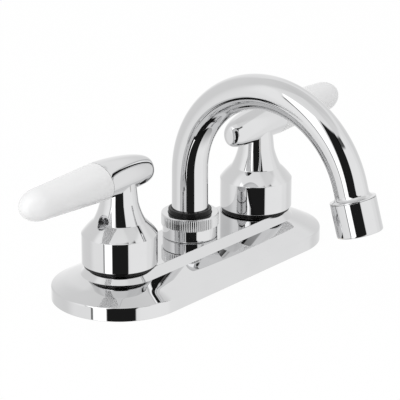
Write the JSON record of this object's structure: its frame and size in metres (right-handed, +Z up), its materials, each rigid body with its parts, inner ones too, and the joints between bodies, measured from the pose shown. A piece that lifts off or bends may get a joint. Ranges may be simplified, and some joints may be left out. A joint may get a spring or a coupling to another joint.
{
  "type": "basin mixer tap",
  "caption": "Chrome deck-mounted basin mixer with a swivel swan-neck spout, bell handles and white lever grips.",
  "frame": {"origin": "on the underside of the base, midway between the two valve axes, where the tap rests on the basin shelf", "axes": "+X from the left valve to the right valve along the handles, -Y towards the user and the outlet, +Z up along the spout's swivel axis"},
  "size_m": [0.2292, 0.1388, 0.1518],
  "materials": {
    "chrome": "mirror-polished chrome plate",
    "white_grip": "glossy white acrylic",
    "black_plastic": "moulded, satin",
    "black_rubber": "matt",
    "raw_brass": "machined",
    "steel": "bright",
    "white_ceramic": "lapped",
    "white_plastic": "moulded, satin"
  },
  "bodies": {
    "base": {"deck_cover": "chrome", "base_gasket": "black_rubber", "waterway": "raw_brass", "shank_washers": "steel", "shank_lock_nuts": "raw_brass", "left_inlet_shank": "raw_brass", "left_seat_seal": "black_rubber", "left_fixed_disc": "white_ceramic", "left_cartridge_body": "raw_brass", "left_cartridge_ring": "black_rubber", "left_cover_nut": "black_plastic", "right_inlet_shank": "raw_brass", "right_seat_seal": "black_rubber", "right_fixed_disc": "white_ceramic", "right_cartridge_body": "raw_brass", "right_cartridge_ring": "black_rubber", "right_cover_nut": "black_plastic", "spout_base_ring": "chrome", "collar_nut": "chrome", "spout_bush": "black_plastic"},
    "left_handle": {"left_moving_disc": "white_ceramic", "left_stem": "raw_brass", "left_stem_rings": "black_rubber", "left_stem_clip": "steel", "left_handle": "chrome", "left_set_screw": "steel", "left_grip_stud": "steel", "left_grip": "white_grip"},
    "right_handle": {"right_moving_disc": "white_ceramic", "right_stem": "raw_brass", "right_stem_rings": "black_rubber", "right_stem_clip": "steel", "right_handle": "chrome", "right_set_screw": "steel", "right_grip_stud": "steel", "right_grip": "white_grip"},
    "spout": {"spout_ferrule": "raw_brass", "spout_rings": "black_rubber", "spout_retainer": "steel", "spout_tube": "chrome", "outlet_nose": "chrome", "aerator_housing": "chrome", "aerator_washer": "black_rubber", "aerator_insert": "white_plastic", "aerator_screen": "steel"}
  },
  "joints": [
    {"name": "left_handle_turn", "type": "hinge", "parent": "base", "child": "left_handle", "pos_m": [-0.0508, 0, 0.03], "axis": [0, 0, 1], "range_deg": [0, 90]},
    {"name": "right_handle_turn", "type": "hinge", "parent": "base", "child": "right_handle", "pos_m": [0.0508, 0, 0.03], "axis": [0, 0, 1], "range_deg": [-90, 0]},
    {"name": "spout_swivel", "type": "hinge", "parent": "base", "child": "spout", "pos_m": [0, 0, 0.03], "axis": [0, 0, 1], "range_deg": [-75, 75]}
  ]
}
